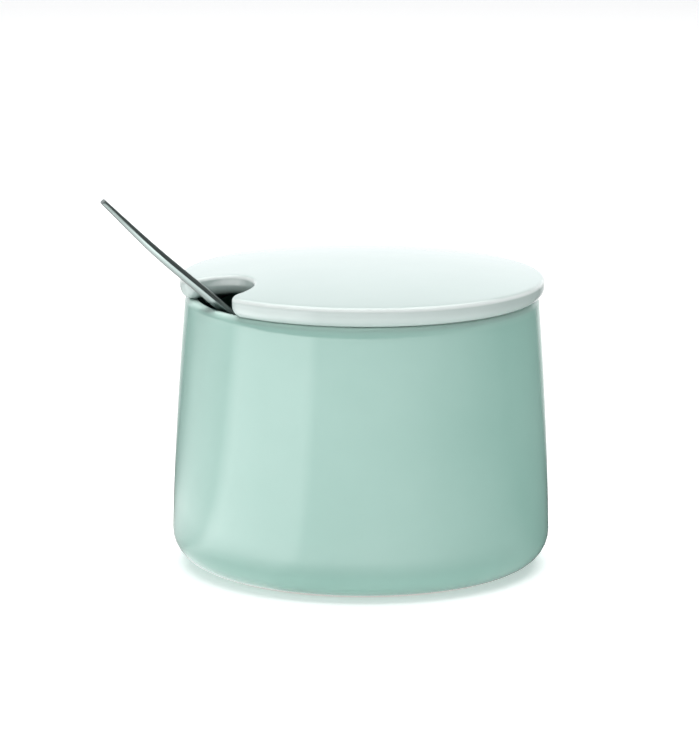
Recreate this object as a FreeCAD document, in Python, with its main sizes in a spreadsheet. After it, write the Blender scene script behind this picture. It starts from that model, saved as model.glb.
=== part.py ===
import FreeCAD, Part
import math
import os
import Sketcher

# Covered sugar bowl: a glazed stoneware bowl, a domed stoneware lid with a spoon notch in its edge,
# and a stainless-steel spoon that leans out through the notch.
# Millimetres. Z is up, the origin is the centre of the foot ring, and the notch faces -X.

SIZES = {
    # bowl, outside
    "wall_radius": 49.97,          # widest, just above the rounded base corner
    "wall_arc": 1000.0,            # the wall is a very gentle barrel arc that leans in
    "rim_radius": 46.6,
    "rim_height": 71.6,
    "base_corner": 8.5,
    "base_gap": 0.6,               # underside of the base above the table
    "foot_outer": 40.4,
    "foot_inner": 36.6,
    "foot_recess": 1.6,
    "foot_round": 0.4,
    # bowl, inside
    "mouth_radius": 43.0,
    "inner_arc": 1000.0,
    "inner_wall_radius": 45.9,     # just above the inner corner
    "inner_corner": 9.0,
    "floor_height": 6.3,
    "rim_round_outer": 1.6,
    "rim_round_inner": 1.3,
    # lid, heights measured from the plane where it rests on the rim
    "lid_radius": 48.1,
    "lid_edge_height": 5.15,
    "lid_crown": 3.95,
    "lid_top_round": 1.1,
    "lid_lower_round": 3.2,
    "lid_land_radius": 44.3,       # inside this the underside is hollowed parallel to the top
    "lid_hollow": 4.3,
    "collar_outer": 42.2,
    "collar_inner": 39.0,
    "collar_depth": 3.6,
    "collar_root": 1.6,            # how far the collar is sunk into the underside
    "collar_sweep": 296.0,         # degrees; it is left out beside the notch
    "collar_round": 0.9,
    # notch in the lid's edge
    "notch_centre": 44.8,
    "notch_radius": 11.5,
    "notch_horn": 4.0,
    # spoon, where it leans
    "spoon_lean": 43.5,            # degrees above the horizontal
    "spoon_heading": 165.0,        # degrees from +X, anticlockwise seen from above
    "spoon_tip_x": 24.0,
    "spoon_tip_y": -19.2,
    "spoon_tip_height": 6.45,
    "spoon_edge": 1.2,             # thickness at its two long edges
}

# Cross-sections of the spoon from the front of its bowl to the end of its handle:
# distance along it, height of its edges above its axis, half width, depth of dish, thickness.
STATIONS = {
    "front": (0.0, 1.6, 1.6, 0.10, 1.25),
    "toe": (1.4, 1.5, 5.0, 0.80, 1.25),
    "brow": (5.5, 1.2, 9.0, 2.80, 1.25),
    "belly": (14.0, 0.5, 12.0, 4.80, 1.25),
    "waist": (24.0, -0.3, 11.6, 4.40, 1.30),
    "heel": (33.0, -0.9, 8.2, 2.30, 1.45),
    "shoulder": (40.0, -1.1, 4.7, 0.70, 1.90),
    "neck": (48.0, -0.5, 3.0, 0.15, 2.40),
    "stem": (62.0, 1.1, 2.7, 0.08, 2.60),
    "shaft": (80.0, 2.3, 2.7, 0.08, 2.60),
    "middle": (98.0, 1.8, 2.7, 0.08, 2.60),
    "upper": (118.0, 0.9, 2.5, 0.08, 2.35),
    "end": (137.0, 0.7, 1.95, 0.05, 1.45),
}

STATION_FIELDS = ("along", "height", "half_width", "dish", "thickness")

NEAR = 0.02                        # how close an edge's ends must be to where it is looked for
LEAST_CUT = 0.02                   # a cut that takes less than this share of a piece has failed
HALF_WAY_RISE = 0.75               # share of a shallow arc's height reached half way to its crown


def build_sheet(doc):
    """The sheet of driving dimensions, one alias per cell."""
    rows = dict(SIZES)
    for name, values in STATIONS.items():
        for field, value in zip(STATION_FIELDS, values):
            rows[name + "_" + field] = value
    sheet = doc.addObject("Spreadsheet::Sheet", "Sizes")
    for row, (alias, value) in enumerate(rows.items(), start=1):
        sheet.set("A%d" % row, alias)
        sheet.set("B%d" % row, str(value))
        sheet.setAlias("B%d" % row, alias)
    doc.recompute()
    return sheet


def new_body(doc, label):
    body = doc.addObject("PartDesign::Body", label)
    body.Label = label
    return body


def new_sketch(body, name, role):
    """A sketch on one of the body's own origin planes."""
    sketch = body.newObject("Sketcher::SketchObject", name)
    plane = next(item for item in body.Origin.OriginFeatures if item.Role == role)
    sketch.AttachmentSupport = [(plane, "")]
    sketch.MapMode = "FlatFace"
    return sketch


def value_of(sheet, expression):
    """The number that an expression of sheet aliases gives now."""
    return float(sheet.evalExpression(expression))


def drive(sketch, sheet, kind, refs, expression):
    """A sketch dimension whose size follows an expression of sheet aliases."""
    number = value_of(sheet, expression)
    index = sketch.addConstraint(Sketcher.Constraint(kind, *refs, number))
    sketch.setExpression("Constraints[%d]" % index, expression)


def point(x, y):
    return FreeCAD.Vector(x, y, 0)


def line(sketch, start, end):
    return sketch.addGeometry(Part.LineSegment(point(*start), point(*end)), False)


def arc(sketch, start, middle, end):
    """An arc through three points, anticlockwise from start to end."""
    return sketch.addGeometry(Part.Arc(point(*start), point(*middle), point(*end)), False)


def join(sketch, *links):
    """Each link is (geometry, end, geometry, end); 1 is a start point and 2 an end point."""
    for link in links:
        sketch.addConstraint(Sketcher.Constraint("Coincident", *link))


def smooth(sketch, *links):
    """Like join, with the two pieces of outline tangent where they meet."""
    for link in links:
        sketch.addConstraint(Sketcher.Constraint("Tangent", *link))


def flat(sketch, *lines):
    for item in lines:
        sketch.addConstraint(Sketcher.Constraint("Horizontal", item))


def upright(sketch, *lines):
    for item in lines:
        sketch.addConstraint(Sketcher.Constraint("Vertical", item))


def on_vertical_axis(sketch, *ends):
    for geometry, end in ends:
        sketch.addConstraint(Sketcher.Constraint("PointOnObject", geometry, end, -2))


def revolve(body, sketch, name):
    turn = body.newObject("PartDesign::Revolution", name)
    turn.Profile = sketch
    turn.ReferenceAxis = (sketch, ["V_Axis"])
    turn.Angle = 360.0
    return turn


def ring_edges(shape, height, radius):
    """Names of the circular edges about the Z axis at this height and radius."""
    found = []
    for number, edge in enumerate(shape.Edges, start=1):
        centre = edge.CenterOfMass
        far = max(math.hypot(vertex.X, vertex.Y) for vertex in edge.Vertexes)
        level = all(abs(vertex.Z - height) < NEAR for vertex in edge.Vertexes)
        if level and abs(far - radius) < NEAR and abs(centre.z - height) < NEAR:
            found.append("Edge%d" % number)
    return found


def fillet(body, name, edges, expression):
    """A fillet on the tip's edges whose radius follows the sheet."""
    base = body.Tip
    feature = body.newObject("PartDesign::Fillet", name)
    feature.Base = (base, edges)
    feature.setExpression("Radius", expression)
    body.Document.recompute()
    return feature


def build_bowl(doc, sheet):
    """The bowl: one revolved profile with a foot ring, a rounded base corner and a rounded rim."""
    body = new_body(doc, "bowl")
    sketch = new_sketch(body, "bowl_profile", "XZ_Plane")
    get = {key: value_of(sheet, "Sizes." + key) for key in SIZES}
    foot_in, foot_out = get["foot_inner"], get["foot_outer"]
    recess, gap, floor = get["foot_recess"], get["base_gap"], get["floor_height"]
    wall, rim, top = get["wall_radius"], get["rim_radius"], get["rim_height"]
    mouth, inner = get["mouth_radius"], get["inner_wall_radius"]
    corner, pocket = get["base_corner"], get["inner_corner"]
    mid = top / 2
    wall_bulge = (top - gap - corner) ** 2 / (8 * get["wall_arc"])
    inner_bulge = (top - floor - pocket) ** 2 / (8 * get["inner_arc"])

    underside = line(sketch, (0, recess), (foot_in, recess))
    foot_in_side = line(sketch, (foot_in, recess), (foot_in, 0))
    foot_face = line(sketch, (foot_in, 0), (foot_out, 0))
    foot_out_side = line(sketch, (foot_out, 0), (foot_out, gap))
    base = line(sketch, (foot_out, gap), (wall - corner, gap))
    bend = corner * (1 - math.sqrt(0.5))
    base_arc = arc(sketch, (wall - corner, gap), (wall - bend, gap + bend), (wall, gap + corner))
    wall_arc = arc(sketch, (wall, gap + corner), ((wall + rim) / 2 + wall_bulge, mid), (rim, top))
    rim_face = line(sketch, (rim, top), (mouth, top))
    inner_mid = ((inner + mouth) / 2 + inner_bulge, mid)
    inner_arc = arc(sketch, (inner, floor + pocket), inner_mid, (mouth, top))
    turn = pocket * (1 - math.sqrt(0.5))
    corner_arc = arc(sketch, (inner - pocket, floor), (inner - turn, floor + turn), (inner, floor + pocket))
    floor_face = line(sketch, (inner - pocket, floor), (0, floor))
    axis = line(sketch, (0, floor), (0, recess))

    join(sketch, (underside, 2, foot_in_side, 1), (foot_in_side, 2, foot_face, 1))
    join(sketch, (foot_face, 2, foot_out_side, 1), (foot_out_side, 2, base, 1))
    smooth(sketch, (base, 2, base_arc, 1), (base_arc, 2, wall_arc, 1))
    join(sketch, (wall_arc, 2, rim_face, 1), (rim_face, 2, inner_arc, 2))
    smooth(sketch, (inner_arc, 1, corner_arc, 2), (corner_arc, 1, floor_face, 1))
    join(sketch, (floor_face, 2, axis, 1), (axis, 2, underside, 1))
    flat(sketch, underside, base, rim_face, floor_face)
    upright(sketch, foot_in_side, foot_out_side)
    on_vertical_axis(sketch, (underside, 1), (floor_face, 2))

    drive(sketch, sheet, "DistanceY", (underside, 1), "Sizes.foot_recess")
    drive(sketch, sheet, "DistanceX", (foot_face, 1), "Sizes.foot_inner")
    drive(sketch, sheet, "DistanceX", (foot_face, 2), "Sizes.foot_outer")
    sketch.addConstraint(Sketcher.Constraint("PointOnObject", foot_face, 1, -1))
    sketch.addConstraint(Sketcher.Constraint("PointOnObject", foot_face, 2, -1))
    drive(sketch, sheet, "DistanceY", (base, 1), "Sizes.base_gap")
    drive(sketch, sheet, "Radius", (base_arc,), "Sizes.base_corner")
    drive(sketch, sheet, "DistanceX", (wall_arc, 1), "Sizes.wall_radius")
    drive(sketch, sheet, "Radius", (wall_arc,), "Sizes.wall_arc")
    drive(sketch, sheet, "DistanceX", (rim_face, 1), "Sizes.rim_radius")
    drive(sketch, sheet, "DistanceY", (rim_face, 1), "Sizes.rim_height")
    drive(sketch, sheet, "DistanceX", (rim_face, 2), "Sizes.mouth_radius")
    drive(sketch, sheet, "Radius", (inner_arc,), "Sizes.inner_arc")
    drive(sketch, sheet, "DistanceX", (inner_arc, 1), "Sizes.inner_wall_radius")
    drive(sketch, sheet, "Radius", (corner_arc,), "Sizes.inner_corner")
    drive(sketch, sheet, "DistanceY", (floor_face, 1), "Sizes.floor_height")
    doc.recompute()

    revolve(body, sketch, "bowl_turned")
    doc.recompute()
    fillet(body, "rim_outer_round", ring_edges(body.Shape, top, rim), "Sizes.rim_round_outer")
    fillet(body, "rim_inner_round", ring_edges(body.Shape, top, mouth), "Sizes.rim_round_inner")
    feet = ring_edges(body.Shape, 0.0, foot_out) + ring_edges(body.Shape, 0.0, foot_in)
    fillet(body, "foot_round", feet, "Sizes.foot_round")
    return body


def notch_mouth(get):
    """Where the notch circle crosses the lid's outer circle, in plan."""
    centre, notch, lid = get["notch_centre"], get["notch_radius"], get["lid_radius"]
    x = (notch ** 2 - lid ** 2 - centre ** 2) / (2 * centre)
    return x, math.sqrt(lid ** 2 - x ** 2)


def horn_edges(shape, mouth):
    """Names of the two upright edges where the notch breaks out of the lid's side."""
    found = []
    for number, edge in enumerate(shape.Edges, start=1):
        at_mouth = all(
            abs(vertex.X - mouth[0]) < NEAR and abs(abs(vertex.Y) - mouth[1]) < NEAR
            for vertex in edge.Vertexes
        )
        if at_mouth:
            found.append("Edge%d" % number)
    return found


def must_shrink(body, volume, what):
    """Stop if a cut took next to nothing."""
    if body.Shape.Volume > (1 - LEAST_CUT) * volume:
        raise RuntimeError("the %s cut nothing" % what)


def lid_disc(body, sheet, get):
    """The solid disc with its domed top, flat underneath."""
    sketch = new_sketch(body, "lid_profile", "XZ_Plane")
    radius, edge, crown = get["lid_radius"], get["lid_edge_height"], get["lid_crown"]
    seat = line(sketch, (0, 0), (radius, 0))
    side = line(sketch, (radius, 0), (radius, edge))
    half_way = (radius / 2, edge + HALF_WAY_RISE * crown)
    dome = arc(sketch, (radius, edge), half_way, (0, edge + crown))
    axis = line(sketch, (0, edge + crown), (0, 0))
    join(sketch, (seat, 2, side, 1), (side, 2, dome, 1), (dome, 2, axis, 1), (axis, 2, seat, 1))
    upright(sketch, side, axis)
    flat(sketch, seat)
    sketch.addConstraint(Sketcher.Constraint("Coincident", seat, 1, -1, 1))
    on_vertical_axis(sketch, (dome, 3))
    drive(sketch, sheet, "DistanceX", (seat, 2), "Sizes.lid_radius")
    drive(sketch, sheet, "DistanceY", (side, 2), "Sizes.lid_edge_height")
    drive(sketch, sheet, "DistanceY", (axis, 1), "Sizes.lid_edge_height + Sizes.lid_crown")
    body.Document.recompute()
    revolve(body, sketch, "lid_turned")
    body.Document.recompute()


def cut_notch(body, sheet, get):
    """The round spoon notch in the lid's edge."""
    whole = body.Shape.Volume
    sketch = new_sketch(body, "notch_outline", "XY_Plane")
    circle = Part.Circle(point(-get["notch_centre"], 0), FreeCAD.Vector(0, 0, 1), get["notch_radius"])
    bite = sketch.addGeometry(circle, False)
    sketch.addConstraint(Sketcher.Constraint("PointOnObject", bite, 3, -1))
    drive(sketch, sheet, "DistanceX", (bite, 3), "-Sizes.notch_centre")
    drive(sketch, sheet, "Radius", (bite,), "Sizes.notch_radius")
    cut = body.newObject("PartDesign::Pocket", "spoon_notch")
    cut.Profile = sketch
    cut.Type = "ThroughAll"
    cut.Reversed = True
    body.Document.recompute()
    must_shrink(body, whole, "spoon notch")


def hollow_underside(body, sheet, get):
    """The hollow under the dome, inside the flat land that sits on the rim."""
    whole = body.Shape.Volume
    sketch = new_sketch(body, "hollow_profile", "XZ_Plane")
    land, hollow = get["lid_land_radius"], get["lid_hollow"]
    seat = line(sketch, (0, 0), (land, 0))
    roof = arc(sketch, (land, 0), (land / 2, HALF_WAY_RISE * hollow), (0, hollow))
    axis = line(sketch, (0, hollow), (0, 0))
    join(sketch, (seat, 2, roof, 1), (roof, 2, axis, 1), (axis, 2, seat, 1))
    flat(sketch, seat)
    sketch.addConstraint(Sketcher.Constraint("Coincident", seat, 1, -1, 1))
    on_vertical_axis(sketch, (roof, 2), (roof, 3))
    drive(sketch, sheet, "DistanceX", (seat, 2), "Sizes.lid_land_radius")
    drive(sketch, sheet, "DistanceY", (roof, 2), "Sizes.lid_hollow")
    body.Document.recompute()
    groove = body.newObject("PartDesign::Groove", "underside_hollow")
    groove.Profile = sketch
    groove.ReferenceAxis = (sketch, ["V_Axis"])
    groove.Angle = 360.0
    body.Document.recompute()
    must_shrink(body, whole, "underside hollow")


def add_collar(body, sheet, get):
    """The collar that keeps the lid on centre, left open beside the notch."""
    sketch = new_sketch(body, "collar_profile", "XZ_Plane")
    depth, root = get["collar_depth"], get["collar_root"]
    inner, outer = get["collar_inner"], get["collar_outer"]
    bottom = line(sketch, (inner, -depth), (outer, -depth))
    outside = line(sketch, (outer, -depth), (outer, root))
    roof = line(sketch, (outer, root), (inner, root))
    inside = line(sketch, (inner, root), (inner, -depth))
    join(sketch, (bottom, 2, outside, 1), (outside, 2, roof, 1))
    join(sketch, (roof, 2, inside, 1), (inside, 2, bottom, 1))
    flat(sketch, bottom, roof)
    upright(sketch, outside, inside)
    drive(sketch, sheet, "DistanceX", (bottom, 1), "Sizes.collar_inner")
    drive(sketch, sheet, "DistanceX", (bottom, 2), "Sizes.collar_outer")
    drive(sketch, sheet, "DistanceY", (bottom, 1), "-Sizes.collar_depth")
    drive(sketch, sheet, "DistanceY", (roof, 1), "Sizes.collar_root")
    body.Document.recompute()
    collar = revolve(body, sketch, "collar")
    collar.Midplane = True
    collar.setExpression("Angle", "Sizes.collar_sweep")
    body.Document.recompute()
    lips = ring_edges(body.Shape, -depth, outer) + ring_edges(body.Shape, -depth, inner)
    fillet(body, "collar_round", lips, "Sizes.collar_round")


def build_lid(doc, sheet):
    """The lid: a domed disc, notched, rounded, hollowed underneath and given its collar."""
    body = new_body(doc, "lid")
    get = {key: value_of(sheet, "Sizes." + key) for key in SIZES}
    lid_disc(body, sheet, get)
    cut_notch(body, sheet, get)
    fillet(body, "horn_round", horn_edges(body.Shape, notch_mouth(get)), "Sizes.notch_horn")
    rim_top = ring_edges(body.Shape, get["lid_edge_height"], get["lid_radius"])
    fillet(body, "top_round", rim_top, "Sizes.lid_top_round")
    rim_bottom = ring_edges(body.Shape, 0.0, get["lid_radius"])
    fillet(body, "lower_round", rim_bottom, "Sizes.lid_lower_round")
    hollow_underside(body, sheet, get)
    add_collar(body, sheet, get)
    body.setExpression("Placement.Base.z", "Sizes.rim_height")
    return body


def spoon_section(body, sheet, name):
    """One closed cross-section: a dished top, two thin edges and a rounded belly."""
    sketch = new_sketch(body, name + "_section", "YZ_Plane")
    sketch.setExpression("AttachmentOffset.Base.z", "Sizes.%s_along" % name)
    height, half, dish, thick = (
        value_of(sheet, "Sizes.%s_%s" % (name, field)) for field in STATION_FIELDS[1:]
    )
    edge = value_of(sheet, "Sizes.spoon_edge")
    low = height - edge
    top = arc(sketch, (-half, height), (0, height - dish), (half, height))
    right = line(sketch, (half, height), (half, low))
    belly = arc(sketch, (-half, low), (0, height - dish - thick), (half, low))
    left = line(sketch, (-half, low), (-half, height))
    join(sketch, (top, 2, right, 1), (right, 2, belly, 2), (belly, 1, left, 1), (left, 2, top, 1))
    upright(sketch, right, left)
    on_vertical_axis(sketch, (top, 3), (belly, 3))
    prefix = "Sizes.%s_" % name
    drive(sketch, sheet, "DistanceX", (top, 2), prefix + "half_width")
    drive(sketch, sheet, "DistanceY", (top, 2), prefix + "height")
    drive(sketch, sheet, "DistanceY", (right, 2), prefix + "height - Sizes.spoon_edge")
    chord = "{0}half_width ^ 2".format(prefix)
    drive(sketch, sheet, "Radius", (top,), "({1} + {0}dish ^ 2) / (2 * {0}dish)".format(prefix, chord))
    sag = "({0}dish + {0}thickness - Sizes.spoon_edge)".format(prefix)
    drive(sketch, sheet, "Radius", (belly,), "({1} + {0} ^ 2) / (2 * {0})".format(sag, chord))
    return sketch


def loft(body, name, sections):
    """A smooth solid through these sections."""
    feature = body.newObject("PartDesign::AdditiveLoft", name)
    feature.Profile = sections[0]
    feature.Sections = sections[1:]
    feature.Ruled = False
    feature.Closed = False
    body.Document.recompute()
    return feature


def build_spoon(doc, sheet):
    """The spoon: one loft for its bowl as far as the neck, and one for the handle."""
    body = new_body(doc, "spoon")
    sections = {name: spoon_section(body, sheet, name) for name in STATIONS}
    doc.recompute()
    names = list(STATIONS)
    neck = names.index("neck")
    loft(body, "spoon_bowl", [sections[name] for name in names[: neck + 1]])
    loft(body, "spoon_handle", [sections[name] for name in names[neck:]])
    lean = value_of(sheet, "Sizes.spoon_lean")
    heading = value_of(sheet, "Sizes.spoon_heading")
    body.Placement = FreeCAD.Placement(point(0, 0), FreeCAD.Rotation(heading, -lean, 0))
    body.setExpression("Placement.Base.x", "Sizes.spoon_tip_x")
    body.setExpression("Placement.Base.y", "Sizes.spoon_tip_y")
    body.setExpression("Placement.Base.z", "Sizes.spoon_tip_height")
    return body


def check(doc, bodies):
    """Stop before writing if any feature failed or any shape is empty or broken."""
    for item in doc.Objects:
        if "Invalid" in item.State or "Error" in item.State:
            raise RuntimeError("%s failed: %s" % (item.Name, item.State))
    for body in bodies:
        if body.Shape.isNull() or not body.Shape.isValid() or len(body.Shape.Solids) != 1:
            raise RuntimeError("%s is not one valid solid" % body.Label)


def main():
    doc = FreeCAD.newDocument("sugar_bowl")
    sheet = build_sheet(doc)
    bodies = [build_bowl(doc, sheet), build_lid(doc, sheet), build_spoon(doc, sheet)]
    doc.recompute()
    check(doc, bodies)
    os.makedirs("parts", exist_ok=True)
    for body in bodies:
        body.Shape.exportStep(os.path.join("parts", body.Label + ".step"))
        box = body.Shape.BoundBox
        print("%-6s %8.0f mm3, z %.2f to %.2f" % (body.Label, body.Shape.Volume, box.ZMin, box.ZMax))


main()
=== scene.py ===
import math

import bpy
import numpy as np
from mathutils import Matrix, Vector


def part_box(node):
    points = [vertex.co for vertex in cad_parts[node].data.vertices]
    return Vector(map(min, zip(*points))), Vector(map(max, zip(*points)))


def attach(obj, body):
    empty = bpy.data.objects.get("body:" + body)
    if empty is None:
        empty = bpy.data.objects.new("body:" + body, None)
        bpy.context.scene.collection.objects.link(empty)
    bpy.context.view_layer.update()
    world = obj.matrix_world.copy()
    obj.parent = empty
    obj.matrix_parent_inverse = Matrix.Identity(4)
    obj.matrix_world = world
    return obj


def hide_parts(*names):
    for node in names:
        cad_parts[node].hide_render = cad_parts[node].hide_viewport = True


# Covered sugar bowl: mint-glazed stoneware bowl, white-glazed lid with a spoon notch, steel spoon.
# Metres. Z is up, the origin is the centre of the foot ring, and the notch faces -X.

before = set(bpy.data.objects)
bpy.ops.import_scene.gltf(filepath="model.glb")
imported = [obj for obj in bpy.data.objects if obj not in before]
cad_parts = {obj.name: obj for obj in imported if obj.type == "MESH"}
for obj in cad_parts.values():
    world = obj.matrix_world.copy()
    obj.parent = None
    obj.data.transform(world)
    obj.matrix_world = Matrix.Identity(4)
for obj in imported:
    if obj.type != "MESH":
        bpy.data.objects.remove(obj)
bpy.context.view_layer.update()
bowl_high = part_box("bowl")[1]
lid_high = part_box("lid")[1]

SHY = 0.99995                      # outer radii are this share of the CAD's, to stay inside its box

# Bowl. The wall's outside and inside are each a slanted line with a very gentle barrel bulge.
RIM_HEIGHT = bowl_high.z
BASE_GAP = 0.0006
BASE_OVERSHOOT = 0.00014           # how far outside the widest part the wall's line meets the base
BASE_RADIUS = bowl_high.x * SHY + BASE_OVERSHOOT
RIM_RADIUS = 0.0466
BASE_CORNER = 0.0085
RIM_ROUND_OUT = 0.0016
RIM_ROUND_IN = 0.0013
MOUTH_RADIUS = 0.0430
FLOOR_RADIUS = 0.0461
FLOOR_HEIGHT = 0.0063
FLOOR_CORNER = 0.0090
OUTER_BULGE = 0.00063
INNER_BULGE = 0.00053
FOOT_OUT = 0.0404
FOOT_IN = 0.0366
FOOT_RECESS = 0.0016
FOOT_ROUND = 0.0004
RECESS_ROUND = 0.0008
STEP_ROUND = 0.00005
GLAZE_STEP = 0.00018               # the glaze stops in a thin rolled edge beside the foot
GLAZE_END = 0.0012                 # how far from the foot it stops
GLAZE_ROUND = 0.00008
CLAY_MARGIN = 0.00002
BOWL_STEP = 0.0015                 # longest run between two points of the profile
BOWL_SIDES = 320
ROUND_STEPS = 8                    # steps in each rounded corner of a profile
# The rim's glaze is lighter over this reach, up to this share: partly thin glaze, partly a painted
# highlight.
RIM_THIN_AND_HIGHLIGHT_REACH = 1.5 * RIM_ROUND_OUT
RIM_THIN_AND_HIGHLIGHT_MOST = 0.75

# Lid. Heights are above the plane where it rests on the rim.
LID_RADIUS = lid_high.x * SHY
LID_EDGE = 0.00515
LID_CROWN = lid_high.z - RIM_HEIGHT - LID_EDGE
LID_TOP_ROUND = 0.0011
LID_LOWER_ROUND = 0.0032
LAND_RADIUS = 0.0443
LID_HOLLOW = 0.0043
NOTCH_CENTRE = 0.0448
NOTCH_RADIUS = 0.0115
NOTCH_HORN = 0.0040
COLLAR_IN = 0.0390
COLLAR_OUT = 0.0422
COLLAR_DEPTH = 0.0036
COLLAR_ROUND = 0.0009
COLLAR_ROOT = 0.0016
COLLAR_SWEEP = math.radians(296)
COLLAR_NOSE = math.radians(4)      # the collar's two ends are rounded off over this much turn
COLLAR_SPACING = 0.0008
COLLAR_STEPS = 220
NOSE_STEPS = 10
EDGE_STEPS = 280                   # points of the lid's outline: edge, each horn, notch
HORN_STEPS = 22
NOTCH_STEPS = 64
RELAX_ROUNDS = 4000

# Spoon: its lean, its heading and the place of its front end.
SPOON_LEAN = math.radians(43.5)
SPOON_HEADING = math.radians(165)
SPOON_TIP = Vector((0.0240, -0.0192, 0.00645))
SPOON_EDGE = 0.0012
SPOON_BEVEL = 0.00028
SPOON_SPACING = 0.0009
SPOON_COLUMNS = 16
UV_SPACING = 0.001

# Its cross-sections: distance along it, height of its top, half width, depth of dish, thickness, and
# how far its rounded shoulders fall.
SPOON_STATIONS = (
    (0.0000, 0.0016, 0.0016, 0.00010, 0.00125, 0.00000),
    (0.0014, 0.0015, 0.0050, 0.00080, 0.00125, 0.00000),
    (0.0055, 0.0012, 0.0090, 0.00280, 0.00125, 0.00000),
    (0.0140, 0.0005, 0.0120, 0.00480, 0.00125, 0.00000),
    (0.0240, -0.0003, 0.0116, 0.00440, 0.00130, 0.00000),
    (0.0330, -0.0009, 0.0082, 0.00230, 0.00145, 0.00000),
    (0.0400, -0.0011, 0.0047, 0.00070, 0.00190, 0.00050),
    (0.0480, -0.0005, 0.0030, 0.00015, 0.00240, 0.00100),
    (0.0620, 0.0011, 0.0027, 0.00008, 0.00260, 0.00130),
    (0.0800, 0.0023, 0.0027, 0.00008, 0.00260, 0.00130),
    (0.0980, 0.0018, 0.0027, 0.00008, 0.00260, 0.00130),
    (0.1180, 0.0009, 0.0025, 0.00008, 0.00235, 0.00115),
    (0.1370, 0.0007, 0.00195, 0.00005, 0.00145, 0.00060),
)


# ---------------------------------------------------------------- mesh helpers

def new_piece(name, vertices, faces, body, node, slot, *materials):
    """A smooth-shaded mesh that stands for a CAD node and rides on its body."""
    mesh = bpy.data.meshes.new(name)
    mesh.from_pydata([tuple(vertex) for vertex in vertices], [], faces)
    mesh.validate()
    mesh.polygons.foreach_set("use_smooth", [True] * len(mesh.polygons))
    for material in materials:
        mesh.materials.append(material)
    piece = bpy.data.objects.new(name, mesh)
    bpy.context.scene.collection.objects.link(piece)
    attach(piece, body)
    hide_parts(node)
    return piece


def strip_faces(rows, columns, start=0):
    """Quads between consecutive rows of points, the last column joined to the first."""
    faces = []
    for row in range(rows - 1):
        for column in range(columns):
            following = (column + 1) % columns
            here, above = start + row * columns, start + (row + 1) * columns
            faces.append((here + column, here + following, above + following, above + column))
    return faces


def rounded(corners):
    """A line of (x, y) points through corners (x, y, radius), each corner rounded by an arc."""
    points = [np.array(corners[0][:2], float)]
    for before, (x, y, radius), after in zip(corners, corners[1:-1], corners[2:]):
        corner = np.array((x, y))
        back = np.array(before[:2]) - corner
        ahead = np.array(after[:2]) - corner
        back, ahead = back / np.linalg.norm(back), ahead / np.linalg.norm(ahead)
        half = math.acos(np.clip(back @ ahead, -1, 1)) / 2
        if radius <= 0:
            points.append(corner)
            continue
        middle = (back + ahead) / np.linalg.norm(back + ahead)
        centre = corner + middle * radius / math.sin(half)
        start = corner + back * radius / math.tan(half) - centre
        turn = math.pi - 2 * half
        side = math.copysign(1, back[0] * ahead[1] - back[1] * ahead[0])
        for step in range(ROUND_STEPS + 1):
            angle = -side * turn * step / ROUND_STEPS
            cos, sin = math.cos(angle), math.sin(angle)
            across, up = start[0] * cos - start[1] * sin, start[0] * sin + start[1] * cos
            points.append(centre + (across, up))
    points.append(np.array(corners[-1][:2], float))
    return points


def filled(points, longest):
    """The same line with extra points on every run longer than this."""
    line = [points[0]]
    for start, end in zip(points, points[1:]):
        count = max(1, math.ceil(np.linalg.norm(end - start) / longest))
        line.extend(start + (end - start) * step / count for step in range(1, count + 1))
    return line


def barrel(points, low, high, bulge):
    """Pushes the points out by a bulge that is nothing at the heights low and high."""
    pushed = []
    for radius, height in points:
        share = np.clip((height - low) / (high - low), 0, 1)
        pushed.append((radius + 4 * bulge * share * (1 - share), height))
    return pushed


def arc_points(centre, radius, start, end, count):
    """Points on an arc in plan, without the last one."""
    turns = np.linspace(start, end, count, endpoint=False)
    return np.stack((centre[0] + radius * np.cos(turns), centre[1] + radius * np.sin(turns)), axis=1)


def smoothly(stations, spacing):
    """Rows between the stations, along a smooth curve through every column, about spacing apart."""
    table = np.array(stations)
    along = table[:, 0]
    slopes = np.gradient(table, along, axis=0)
    rows = []
    for index in range(len(along) - 1):
        gap = along[index + 1] - along[index]
        count = max(2, round(gap / spacing))
        for step in range(count):
            t = step / count
            rows.append(
                (2 * t**3 - 3 * t**2 + 1) * table[index]
                + (t**3 - 2 * t**2 + t) * gap * slopes[index]
                + (3 * t**2 - 2 * t**3) * table[index + 1]
                + (t**3 - t**2) * gap * slopes[index + 1]
            )
    rows.append(table[-1])
    return rows


# ---------------------------------------------------------------- material helpers

RANGE_SOCKETS = ("From Min", "From Max", "To Min", "To Max")


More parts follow.
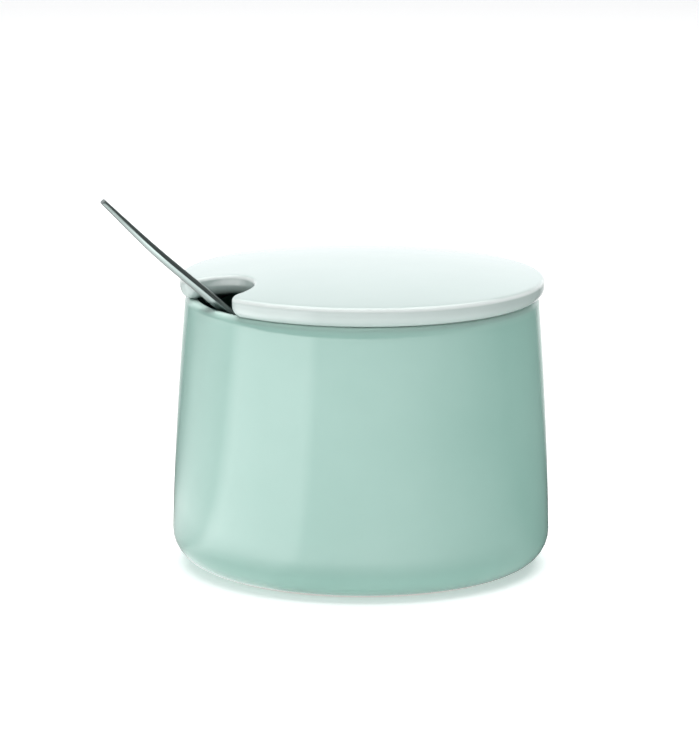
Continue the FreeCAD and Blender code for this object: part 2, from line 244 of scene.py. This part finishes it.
class Shader:
    """A node material with a Principled surface, and short ways to add nodes to it."""

    def __init__(self, name):
        self.material = bpy.data.materials.new(name)
        self.material.use_nodes = True
        self.nodes = self.material.node_tree.nodes
        self.links = self.material.node_tree.links
        self.surface = self.nodes["Principled BSDF"]
        self.place = self.nodes.new("ShaderNodeTexCoord").outputs["Object"]

    def set(self, **values):
        """Constant values of the surface, with _ for a space in the socket's name."""
        for name, value in values.items():
            self.surface.inputs[name.replace("_", " ")].default_value = value

    def feed(self, output, socket):
        self.links.new(output, self.surface.inputs[socket])

    def noise(self, scale, detail, vector=None):
        node = self.nodes.new("ShaderNodeTexNoise")
        node.inputs["Scale"].default_value = scale
        node.inputs["Detail"].default_value = detail
        self.links.new(vector or self.place, node.inputs["Vector"])
        return node.outputs["Fac"]

    def remap(self, value, low, high, to_low, to_high):
        """value from low..high to to_low..to_high, held at the ends."""
        node = self.nodes.new("ShaderNodeMapRange")
        for socket, number in zip(RANGE_SOCKETS, (low, high, to_low, to_high)):
            node.inputs[socket].default_value = number
        self.links.new(value, node.inputs["Value"])
        return node.outputs["Result"]

    def mix(self, factor, first, second):
        """first where factor is 0 and second where it is 1; each is a colour or an output."""
        node = self.nodes.new("ShaderNodeMix")
        node.data_type = "RGBA"
        self.links.new(factor, node.inputs["Factor"])
        for socket, value in ((node.inputs[6], first), (node.inputs[7], second)):
            if isinstance(value, bpy.types.NodeSocket):
                self.links.new(value, socket)
            else:
                socket.default_value = (*value, 1)
        return node.outputs[2]

    def math(self, operation, first, second):
        node = self.nodes.new("ShaderNodeMath")
        node.operation = operation
        self.links.new(first, node.inputs[0])
        self.links.new(second, node.inputs[1])
        return node.outputs["Value"]

    def attribute(self, name):
        node = self.nodes.new("ShaderNodeAttribute")
        node.attribute_name = name
        return node.outputs["Fac"]

    def bump(self, height, distance, under=None):
        node = self.nodes.new("ShaderNodeBump")
        node.inputs["Distance"].default_value = distance
        self.links.new(height, node.inputs["Height"])
        if under is not None:
            self.links.new(under, node.inputs["Normal"])
        return node.outputs["Normal"]


# ---------------------------------------------------------------- materials

def glaze(name, body_colour, pool_colour, thin_and_highlight_colour):
    """Glossy glaze over stoneware: cloudy in tone, lighter on edges where it runs thin and where a
    highlight is painted, with a faint orange-peel surface.
    """
    shader = Shader(name)
    shader.set(IOR=1.55)
    clouds = shader.remap(shader.noise(38, detail=3), 0.35, 0.65, 0.0, 1.0)
    colour = shader.mix(clouds, body_colour, pool_colour)
    specks = shader.remap(shader.noise(1500, detail=1), 0.70, 0.78, 0.0, 0.35)
    colour = shader.mix(specks, colour, pool_colour)
    # Lighter colour on edges: partly glaze running thin, partly a painted highlight.
    colour = shader.mix(shader.attribute("thin_and_highlight"), colour, thin_and_highlight_colour)
    shader.feed(colour, "Base Color")
    shader.feed(shader.remap(shader.noise(90, detail=3), 0.3, 0.7, 0.05, 0.10), "Roughness")
    slow = shader.bump(shader.noise(55, detail=1), 0.00008)
    peel = shader.bump(shader.noise(620, detail=2), 0.000010, under=slow)
    shader.feed(peel, "Normal")
    return shader.material


def bare_clay():
    """The dry, unglazed stoneware of the foot ring."""
    shader = Shader("bare_clay")
    grains = shader.remap(shader.noise(900, detail=4), 0.35, 0.7, 0.0, 1.0)
    shader.feed(shader.mix(grains, (0.74, 0.68, 0.58), (0.58, 0.51, 0.42)), "Base Color")
    shader.feed(shader.remap(grains, 0, 1, 0.7, 0.9), "Roughness")
    shader.feed(shader.bump(shader.noise(1600, detail=4), 0.00006), "Normal")
    return shader.material


def steel():
    """Satin stainless steel with fine marks that run along the spoon."""
    shader = Shader("spoon_steel")
    shader.set(Metallic=1.0)
    uv = shader.nodes.new("ShaderNodeUVMap")
    uv.uv_map = "along_and_round"
    stretch = shader.nodes.new("ShaderNodeMapping")
    stretch.inputs["Scale"].default_value = (0.03, 1.0, 1.0)
    shader.links.new(uv.outputs["UV"], stretch.inputs["Vector"])
    marks = shader.noise(4200, detail=3, vector=stretch.outputs["Vector"])
    stains = shader.remap(shader.noise(70, detail=3), 0.35, 0.65, 0.0, 1.0)
    colour = shader.mix(stains, (0.22, 0.26, 0.25), (0.185, 0.225, 0.215))
    shader.feed(colour, "Base Color")
    shader.feed(shader.remap(marks, 0.3, 0.7, 0.24, 0.34), "Roughness")
    shader.feed(shader.bump(marks, 0.000004), "Normal")
    return shader.material


# ---------------------------------------------------------------- bowl

def bowl_profile():
    """The bowl's outline from the middle of its underside, round the rim, to the middle of its floor."""
    glaze_under = BASE_GAP - GLAZE_STEP
    outside = rounded((
        (0.0, FOOT_RECESS, 0),
        (FOOT_IN, FOOT_RECESS, RECESS_ROUND),
        (FOOT_IN, 0.0, FOOT_ROUND),
        (FOOT_OUT, 0.0, FOOT_ROUND),
        (FOOT_OUT, BASE_GAP, STEP_ROUND),
        (FOOT_OUT + GLAZE_END, BASE_GAP, STEP_ROUND),
        (FOOT_OUT + GLAZE_END, glaze_under, GLAZE_ROUND),
        (BASE_RADIUS, glaze_under, BASE_CORNER),
        (RIM_RADIUS, RIM_HEIGHT, RIM_ROUND_OUT),
        ((RIM_RADIUS + MOUTH_RADIUS) / 2, RIM_HEIGHT, 0),
    ))
    inside = rounded((
        ((RIM_RADIUS + MOUTH_RADIUS) / 2, RIM_HEIGHT, 0),
        (MOUTH_RADIUS, RIM_HEIGHT, RIM_ROUND_IN),
        (FLOOR_RADIUS, FLOOR_HEIGHT, FLOOR_CORNER),
        (0.0, FLOOR_HEIGHT, 0),
    ))
    outside = barrel(filled(outside, BOWL_STEP), BASE_GAP, RIM_HEIGHT, OUTER_BULGE)
    inside = barrel(filled(inside, BOWL_STEP), FLOOR_HEIGHT, RIM_HEIGHT, INNER_BULGE)
    return outside + inside[1:]


def make_bowl(coating, clay):
    """The bowl turned from its profile, with bare clay on the foot ring."""
    profile = bowl_profile()
    ring = profile[1:-1]
    turns = np.linspace(0, 2 * math.pi, BOWL_SIDES, endpoint=False)
    vertices = [(r * math.cos(a), r * math.sin(a), z) for r, z in ring for a in turns]
    faces = strip_faces(len(ring), BOWL_SIDES)
    bottom, top = len(vertices), len(vertices) + 1
    vertices += [(0, 0, profile[0][1]), (0, 0, profile[-1][1])]
    last = (len(ring) - 1) * BOWL_SIDES
    for side in range(BOWL_SIDES):
        following = (side + 1) % BOWL_SIDES
        faces.append((bottom, following, side))
        faces.append((top, last + side, last + following))
    piece = new_piece("bowl_body", vertices, faces, "bowl", "bowl", "bowl_glaze", coating, clay)
    for face in piece.data.polygons:
        centre = face.center
        beside = FOOT_IN - FOOT_ROUND < math.hypot(centre.x, centre.y) < FOOT_OUT + GLAZE_END
        if beside and centre.z < BASE_GAP + CLAY_MARGIN:
            face.material_index = 1
    # The rim is painted lighter: partly thin glaze, partly a painted highlight.
    set_thin_and_highlight(piece, lambda x, y, z: rim_thin_and_highlight(math.hypot(x, y), z))


def rim_thin_and_highlight(radius, height):
    """How much lighter the bowl's glaze is: most on the rim's outer and inner rounds, partly where the
    glaze runs thin and partly a painted highlight.
    """
    over = (height - (RIM_HEIGHT - RIM_THIN_AND_HIGHLIGHT_REACH)) / RIM_THIN_AND_HIGHLIGHT_REACH
    return RIM_THIN_AND_HIGHLIGHT_MOST * float(np.clip(over, 0, 1)) ** 2 if radius > FOOT_OUT else 0.0


def set_thin_and_highlight(piece, rule):
    """Stores how much lighter the glaze is at each vertex, for thin glaze and painted highlight, by a rule
    of x, y and z.
    """
    layer = piece.data.attributes.new("thin_and_highlight", "FLOAT", "POINT")
    layer.data.foreach_set("value", [rule(*vertex.co) for vertex in piece.data.vertices])


# ---------------------------------------------------------------- lid

def horn_centre():
    """Centre of the round on the horn at +Y, where the notch meets the lid's edge."""
    to_middle = LID_RADIUS - NOTCH_HORN
    to_notch = NOTCH_RADIUS + NOTCH_HORN
    x = (to_notch**2 - to_middle**2 - NOTCH_CENTRE**2) / (2 * NOTCH_CENTRE)
    return x, math.sqrt(to_middle**2 - x**2)


def lid_outline(inset):
    """The lid's edge in plan, anticlockwise, moved inwards by inset."""
    x, y = horn_centre()
    outer_turn = math.atan2(y, x)
    notch_turn = math.atan2(y, x + NOTCH_CENTRE)
    return np.concatenate((
        arc_points((0, 0), LID_RADIUS - inset, -outer_turn, outer_turn, EDGE_STEPS),
        arc_points((x, y), NOTCH_HORN - inset, outer_turn, notch_turn + math.pi, HORN_STEPS),
        arc_points((-NOTCH_CENTRE, 0), NOTCH_RADIUS + inset, notch_turn, -notch_turn, NOTCH_STEPS),
        arc_points(
            (x, -y), NOTCH_HORN - inset, math.pi - notch_turn, 2 * math.pi - outer_turn, HORN_STEPS
        ),
    ))


def relaxed_rows(outline, count, inner_radius):
    """Rows of points from an outline in to a small circle, evened out so that no two cross."""
    steps = np.linalg.norm(np.roll(outline, -1, axis=0) - outline, axis=1)
    share = np.concatenate(([0], np.cumsum(steps)[:-1])) / steps.sum()
    first = math.atan2(outline[0][1], outline[0][0])
    turns = first + 2 * math.pi * share
    inner = inner_radius * np.stack((np.cos(turns), np.sin(turns)), axis=1)
    blend = np.linspace(0, 1, count)[:, None, None]
    rows = outline[None] * (1 - blend) + inner[None] * blend
    for _ in range(RELAX_ROUNDS):
        around = (np.roll(rows, 1, axis=1) + np.roll(rows, -1, axis=1))[1:-1]
        rows[1:-1] = (around + rows[:-2] + rows[2:]) / 4
    return rows


def dome(radius, crown, span):
    """Height of a shallow spherical dome above its edge."""
    sphere = (span**2 + crown**2) / (2 * crown)
    return math.sqrt(sphere**2 - radius**2) - sphere + crown


def top_height(x, y):
    return RIM_HEIGHT + LID_EDGE + dome(math.hypot(x, y), LID_CROWN, LID_RADIUS)


def under_height(x, y):
    radius = math.hypot(x, y)
    hollow = dome(radius, LID_HOLLOW, LAND_RADIUS) if radius < LAND_RADIUS else 0.0
    return RIM_HEIGHT + hollow


def lid_rows():
    """Rings of points from the middle of the top, over the edge, to the middle of the underside."""
    middle_radius, round_steps, side_steps, rows = 0.003, 8, 4, 34
    top = relaxed_rows(lid_outline(LID_TOP_ROUND), rows, middle_radius)
    rings = [[(x, y, top_height(x, y)) for x, y in row] for row in top[::-1]]
    for step in range(round_steps - 1, -1, -1):
        angle = math.pi / 2 * step / round_steps
        drop = LID_TOP_ROUND * (1 - math.sin(angle))
        plan = lid_outline(LID_TOP_ROUND * (1 - math.cos(angle)))
        rings.append([(x, y, top_height(x, y) - drop) for x, y in plan])
    edge = lid_outline(0)
    for step in range(1, side_steps):
        share = step / side_steps
        rings.append([
            (x, y, (top_height(x, y) - LID_TOP_ROUND) * (1 - share)
             + (under_height(x, y) + LID_LOWER_ROUND) * share)
            for x, y in edge
        ])
    for step in range(round_steps + 1):
        angle = math.pi / 2 * step / round_steps
        rise = LID_LOWER_ROUND * (1 - math.sin(angle))
        plan = lid_outline(LID_LOWER_ROUND * (1 - math.cos(angle)))
        rings.append([(x, y, under_height(x, y) + rise) for x, y in plan])
    under = relaxed_rows(lid_outline(LID_LOWER_ROUND), rows, middle_radius)
    rings += [[(x, y, under_height(x, y)) for x, y in row] for row in under[1:]]
    return rings


def collar_mesh(start):
    """The collar under the lid: points, and faces that count from start."""
    section = rounded((
        (COLLAR_IN, COLLAR_ROOT, 0),
        (COLLAR_IN, -COLLAR_DEPTH, COLLAR_ROUND),
        (COLLAR_OUT, -COLLAR_DEPTH, COLLAR_ROUND),
        (COLLAR_OUT, COLLAR_ROOT, 0),
    ))
    section = filled(section, COLLAR_SPACING)
    half = COLLAR_SWEEP / 2
    nose = half - COLLAR_NOSE * (1 - np.sin(np.linspace(0, math.pi / 2, NOSE_STEPS)))
    between = np.linspace(-half + COLLAR_NOSE, half - COLLAR_NOSE, COLLAR_STEPS)[1:-1]
    turns = np.concatenate((-nose[::-1], between, nose))
    vertices = []
    for turn in turns:
        past = max(0.0, abs(turn) - (half - COLLAR_NOSE)) / COLLAR_NOSE
        fall = math.sqrt(max(0.0, 1 - past**2))
        for radius, height in section:
            level = COLLAR_ROOT + (height - COLLAR_ROOT) * fall
            vertices.append((radius * math.cos(turn), radius * math.sin(turn), RIM_HEIGHT + level))
    return vertices, strip_faces(len(turns), len(section), start)


def edge_highlight(drop):
    """How strong the painted highlight is, this far below the lid's dome: most along the round of its
    upper edge.
    """
    if not 0 < drop < LID_TOP_ROUND:
        return 0.0
    return math.sin(math.pi * drop / LID_TOP_ROUND)


def make_lid(coating):
    """The lid with its rounded edge, notch, hollow underside and collar."""
    rings = lid_rows()
    columns = len(rings[0])
    vertices = [point for ring in rings for point in ring]
    faces = strip_faces(len(rings), columns)
    top, bottom = len(vertices), len(vertices) + 1
    vertices += [(0, 0, top_height(0, 0)), (0, 0, under_height(0, 0))]
    last = (len(rings) - 1) * columns
    for column in range(columns):
        following = (column + 1) % columns
        faces.append((top, following, column))
        faces.append((bottom, last + column, last + following))
    faces = [tuple(reversed(face)) for face in faces]
    collar_vertices, collar_faces = collar_mesh(len(vertices))
    piece = new_piece("lid_body", vertices + collar_vertices, faces + collar_faces,
                      "lid", "lid", "lid_glaze", coating)
    # Painted highlight along the round of the lid's upper edge.
    set_thin_and_highlight(piece, lambda x, y, z: edge_highlight(top_height(x, y) - z))


# ---------------------------------------------------------------- spoon

def spoon_loop(height, half, dish, thickness, shoulder):
    """One cross-section in its (side, up) plane: dished or shouldered top, two edges, rounded belly."""
    across = np.linspace(-1, 1, SPOON_COLUMNS + 1)
    top = [(half * u, height - dish * (1 - u * u) - shoulder * u**4) for u in across]
    low = height - SPOON_EDGE
    sag = dish + thickness - SPOON_EDGE
    belly = [(half * u, low - sag * (1 - u * u)) for u in across[::-1]]
    return top + belly


def make_spoon(metal):
    """The spoon, lofted through its cross-sections and laid in the notch."""
    along = Vector((
        math.cos(SPOON_LEAN) * math.cos(SPOON_HEADING),
        math.cos(SPOON_LEAN) * math.sin(SPOON_HEADING),
        math.sin(SPOON_LEAN),
    ))
    side = Vector((-math.sin(SPOON_HEADING), math.cos(SPOON_HEADING), 0))
    up = along.cross(side)
    rows = smoothly(SPOON_STATIONS, SPOON_SPACING)
    vertices = []
    for far, *shape in rows:
        vertices += [SPOON_TIP + along * far + side * s + up * u for s, u in spoon_loop(*shape)]
    columns = len(vertices) // len(rows)
    faces = strip_faces(len(rows), columns)
    faces.append(tuple(reversed(range(columns))))
    faces.append(tuple(range(len(vertices) - columns, len(vertices))))
    piece = new_piece("spoon_body", vertices, faces, "spoon", "spoon", "spoon_steel", metal)
    layer = piece.data.uv_layers.new(name="along_and_round")
    for loop in piece.data.loops:
        row, column = divmod(loop.vertex_index, columns)
        layer.data[loop.index].uv = (rows[row][0], column * UV_SPACING)
    bevel = piece.modifiers.new("soft_edges", "BEVEL")
    bevel.width = SPOON_BEVEL
    bevel.segments = 3
    bevel.limit_method = "ANGLE"
    bevel.angle_limit = math.radians(30)


# ---------------------------------------------------------------- stage, light and camera

VIEW_TURN = math.radians(-28)      # the camera's heading: 0 looks along +Y
VIEW_RISE = math.radians(11.5)
VIEW_ROLL = math.radians(0.31)
VIEW_DISTANCE = 1.2
VIEW_TARGET = Vector((-0.00284, 0.00151, 0.0513))
VIEW_LENS = 220.7
SENSOR = 36.0

# The walls' light rises towards the back of the room: between these two cosines of the angle from the
# camera's line of sight, and from the first brightness to the second.
WALL_LIGHT = (0.74, 0.96, 0.20, 1.15)

# What glossy surfaces see of the floor instead of its plain look: fans of light. Each has its turn from
# the camera in degrees, the cosines where it starts and is full, and the brightness at those.
FANS = (
    (180, (0.80, 0.94), (0.0, 1.0)),
    (-25, (-0.55, 1.0), (0.0, 3.1)),
    (-57, (0.76, 0.92), (0.0, 4.6)),
    (-90, (0.66, 1.0), (0.0, 2.3)),
)
FAN_START = (0.055, 0.11)          # distances from the axis where every fan is dimmed and where it is full
FAN_DIM = 0.25                     # how much of its light a fan keeps nearest the bowl
FLOOR_GLOW = (0.36, 0.36, 0.36)    # the floor's own light for every other ray
FLOOR_REACH = 5.0


def facing(turn, rise):
    """Unit vector from the object towards a viewer at this heading and elevation."""
    return Vector((
        math.sin(turn) * math.cos(rise),
        -math.cos(turn) * math.cos(rise),
        math.sin(rise),
    ))


def make_camera():
    camera = bpy.data.objects.new("camera", bpy.data.cameras.new("camera"))
    camera.data.sensor_width = SENSOR
    camera.data.lens = VIEW_LENS
    camera.data.clip_start = 0.05
    camera.data.clip_end = 50
    back = facing(VIEW_TURN, VIEW_RISE)
    camera.location = VIEW_TARGET + back * VIEW_DISTANCE
    camera.rotation_euler = (-back).to_track_quat("-Z", "Y").to_euler()
    camera.rotation_euler.rotate_axis("Z", VIEW_ROLL)
    bpy.context.scene.collection.objects.link(camera)
    bpy.context.scene.camera = camera


def make_floor():
    """A large plain pale floor, faintly lit from within; glossy surfaces see it black, a painted dark
    reflection, with painted fans of light on it.
    """
    mesh = bpy.data.meshes.new("floor")
    corners = [(x * FLOOR_REACH, y * FLOOR_REACH, 0) for x, y in ((-1, -1), (1, -1), (1, 1), (-1, 1))]
    mesh.from_pydata(corners, [], [(0, 1, 2, 3)])
    shader = Shader("floor")
    glossy = shader.nodes.new("ShaderNodeLightPath").outputs["Is Glossy Ray"]
    tone = shader.mix(shader.noise(6, detail=2), (0.89, 0.89, 0.89), (0.91, 0.91, 0.91))
    heading = shader.nodes.new("ShaderNodeVectorMath")
    heading.operation = "NORMALIZE"
    shader.links.new(shader.place, heading.inputs[0])
    radius = shader.nodes.new("ShaderNodeVectorMath")
    radius.operation = "LENGTH"
    shader.links.new(shader.place, radius.inputs[0])
    far = shader.remap(radius.outputs["Value"], *FAN_START, FAN_DIM, 1)
    seen = None
    for turn, spread, light in FANS:
        toward = shader.nodes.new("ShaderNodeVectorMath")
        toward.operation = "DOT_PRODUCT"
        toward.inputs[1].default_value = facing(VIEW_TURN + math.radians(turn), 0)
        shader.links.new(heading.outputs["Vector"], toward.inputs[0])
        fan = shader.math("MULTIPLY", shader.remap(toward.outputs["Value"], *spread, *light), far)
        seen = fan if seen is None else shader.math("MAXIMUM", seen, fan)
    # Glossy rays see the floor black: a painted dark reflection, apart from the fans of light.
    shader.feed(shader.mix(glossy, tone, (0, 0, 0)), "Base Color")
    shader.feed(shader.mix(glossy, FLOOR_GLOW, seen), "Emission Color")
    shader.set(Roughness=0.7, Emission_Strength=1.0)
    mesh.materials.append(shader.material)
    floor = bpy.data.objects.new("floor", mesh)
    bpy.context.scene.collection.objects.link(floor)


def soft_light(name, turn, rise, distance, width, height, brightness, mirrored=True):
    """An area light that faces the bowl. turn is from the camera, anticlockwise from above, in degrees;
    a light that isn't mirrored still lights the bowl, but doesn't show in its glaze."""
    light = bpy.data.lights.new(name, "AREA")
    light.shape = "RECTANGLE"
    light.size = width
    light.size_y = height
    light.energy = math.pi * width * height * brightness
    lamp = bpy.data.objects.new(name, light)
    middle = Vector((0, 0, RIM_HEIGHT / 2))
    back = facing(VIEW_TURN + math.radians(turn), math.radians(rise))
    lamp.location = middle + back * distance
    lamp.rotation_euler = back.to_track_quat("Z", "Y").to_euler()
    lamp.visible_camera = False
    lamp.visible_glossy = mirrored
    bpy.context.scene.collection.objects.link(lamp)


def make_world():
    """Dim studio walls that are bright behind the bowl, and a plain pale backdrop wherever one shows."""
    world = bpy.data.worlds.new("studio")
    world.use_nodes = True
    nodes, links = world.node_tree.nodes, world.node_tree.links
    walls = nodes["Background"]
    walls.inputs["Color"].default_value = (0.96, 0.98, 1.0, 1)
    direction = nodes.new("ShaderNodeTexCoord").outputs["Generated"]
    toward = nodes.new("ShaderNodeVectorMath")
    toward.operation = "DOT_PRODUCT"
    toward.inputs[1].default_value = -facing(VIEW_TURN, 0)
    links.new(direction, toward.inputs[0])
    level = nodes.new("ShaderNodeMapRange")
    level.interpolation_type = "SMOOTHSTEP"
    for socket, number in zip(RANGE_SOCKETS, WALL_LIGHT):
        level.inputs[socket].default_value = number
    links.new(toward.outputs["Value"], level.inputs["Value"])
    links.new(level.outputs["Result"], walls.inputs["Strength"])
    backdrop = nodes.new("ShaderNodeBackground")
    backdrop.inputs["Color"].default_value = (0.97, 0.97, 0.97, 1)
    shown = nodes.new("ShaderNodeMixShader")
    links.new(nodes.new("ShaderNodeLightPath").outputs["Is Camera Ray"], shown.inputs["Fac"])
    links.new(walls.outputs["Background"], shown.inputs[1])
    links.new(backdrop.outputs["Background"], shown.inputs[2])
    links.new(shown.outputs["Shader"], nodes["World Output"].inputs["Surface"])
    bpy.context.scene.world = world


def make_light():
    """A large box overhead and behind, and a fill from the front left that doesn't show in the glaze."""
    soft_light("top_box", turn=180, rise=80, distance=1.15, width=1.5, height=1.3, brightness=3.4)
    soft_light(
        "front_fill", turn=-30, rise=30, distance=0.9, width=0.5, height=0.5, brightness=1.7,
        mirrored=False,
    )


bpy.context.scene.view_settings.view_transform = "Standard"

mint = glaze(
    "mint_glaze",
    body_colour=(0.34, 0.565, 0.495),
    pool_colour=(0.32, 0.545, 0.475),
    # lighter rim colour: partly thin glaze, partly a painted highlight
    thin_and_highlight_colour=(0.60, 0.74, 0.69),
)
white = glaze(
    "white_glaze",
    body_colour=(0.515, 0.605, 0.58),
    pool_colour=(0.50, 0.592, 0.567),
    # colour of the painted highlight along the lid's upper edge
    thin_and_highlight_colour=(0.80, 0.86, 0.84),
)
make_bowl(mint, bare_clay())
make_lid(white)
make_spoon(steel())
make_camera()
make_floor()
make_world()
make_light()
